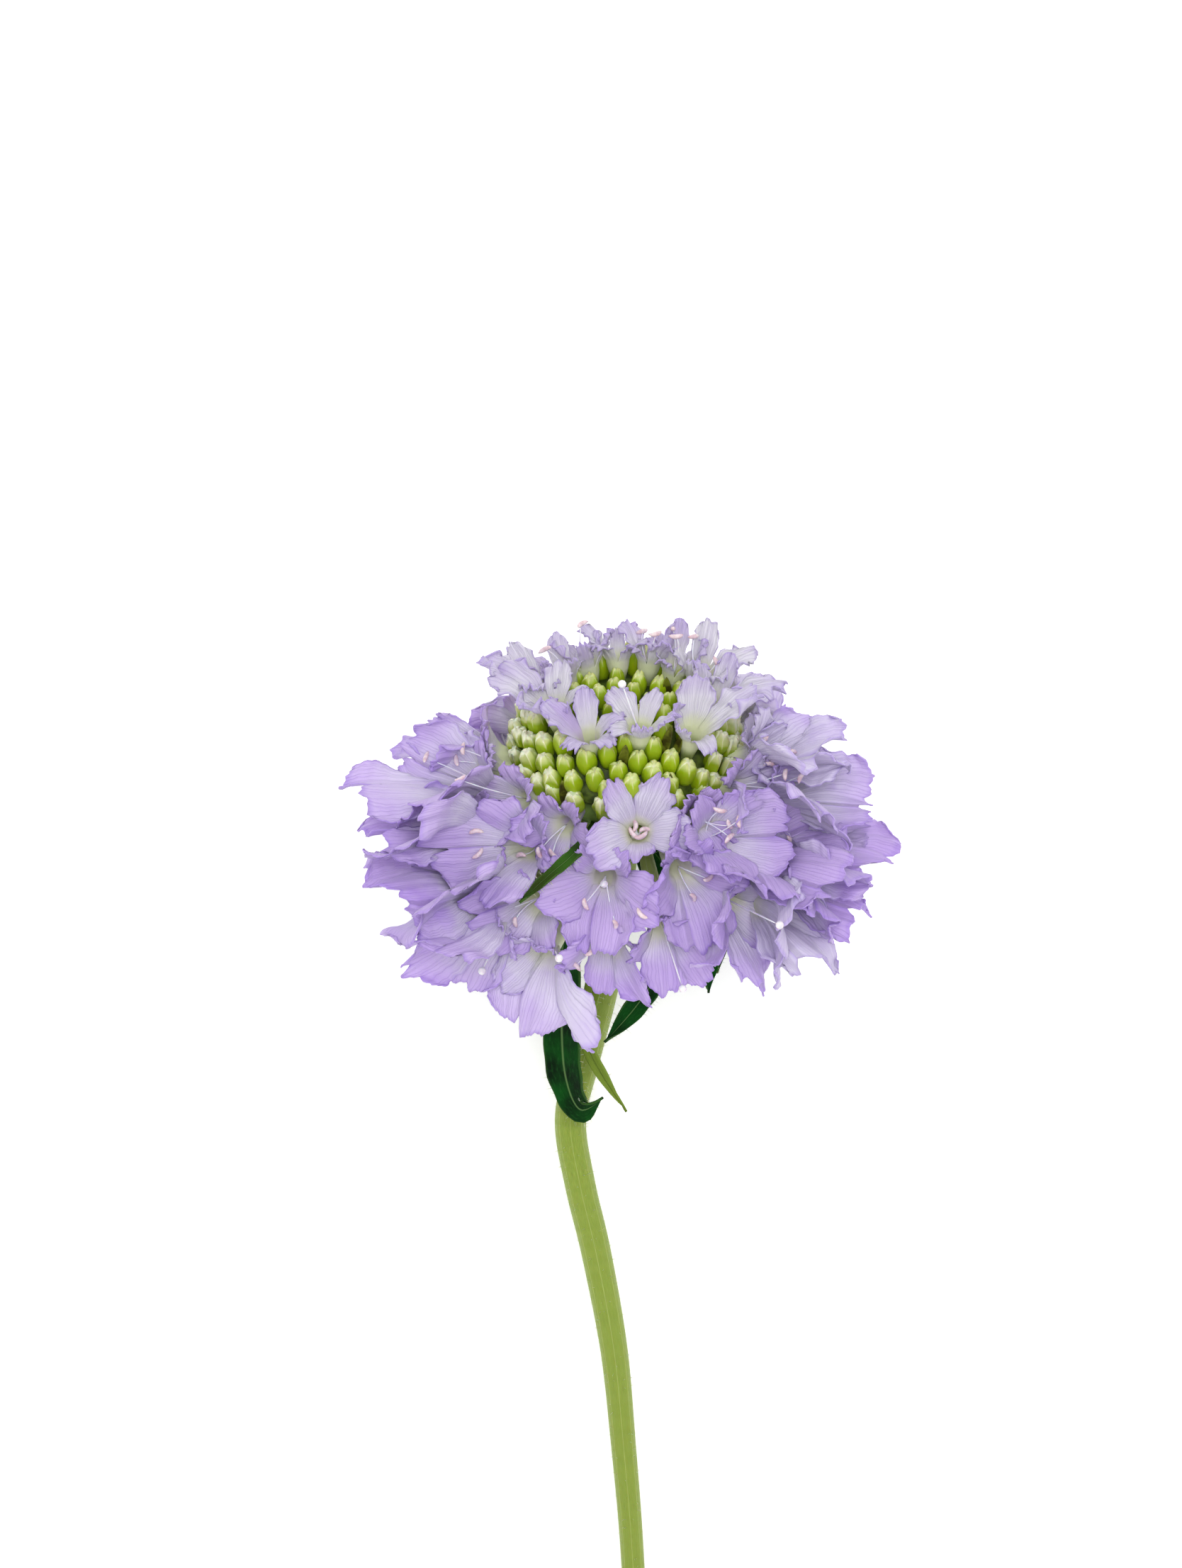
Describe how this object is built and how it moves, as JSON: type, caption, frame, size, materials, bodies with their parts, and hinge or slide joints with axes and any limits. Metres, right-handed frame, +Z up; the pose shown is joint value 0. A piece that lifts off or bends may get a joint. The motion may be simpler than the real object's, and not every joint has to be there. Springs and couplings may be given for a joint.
{
  "type": "cut scabiosa flower",
  "caption": "Cut lavender pincushion flower lying on its side: crowded ruffled outer florets round a green bud dome, narrow dark bracts and a bent stem.",
  "frame": {"origin": "centre of the bounding box's underside, on the surface that the flower lies on", "axes": "+Z up from the surface, +Y along the stem from its cut end towards the flower head, +X to the right seen from above with the head at the top"},
  "size_m": [0.0658, 0.1425, 0.0483],
  "materials": {
    "petal": "soft lavender petal tissue, finely veined along its length, paler and greener towards the throat, violet at the ruffled edge",
    "inner_petal": "paler lavender to greenish white petal tissue, finely veined",
    "bud": "satin yellow-green buds with pale cream-green tips",
    "bract": "dark green narrow leaf with a paler midrib and fine pale hairs on its edges",
    "stem": "light yellow-green stem with fine lengthwise ribs and short pale hairs"
  },
  "bodies": {
    "root": {"stem": "stem", "bracts": "bract", "outer_florets": "petal", "inner_florets": "inner_petal", "bud_head": "bud"}
  },
  "joints": []
}
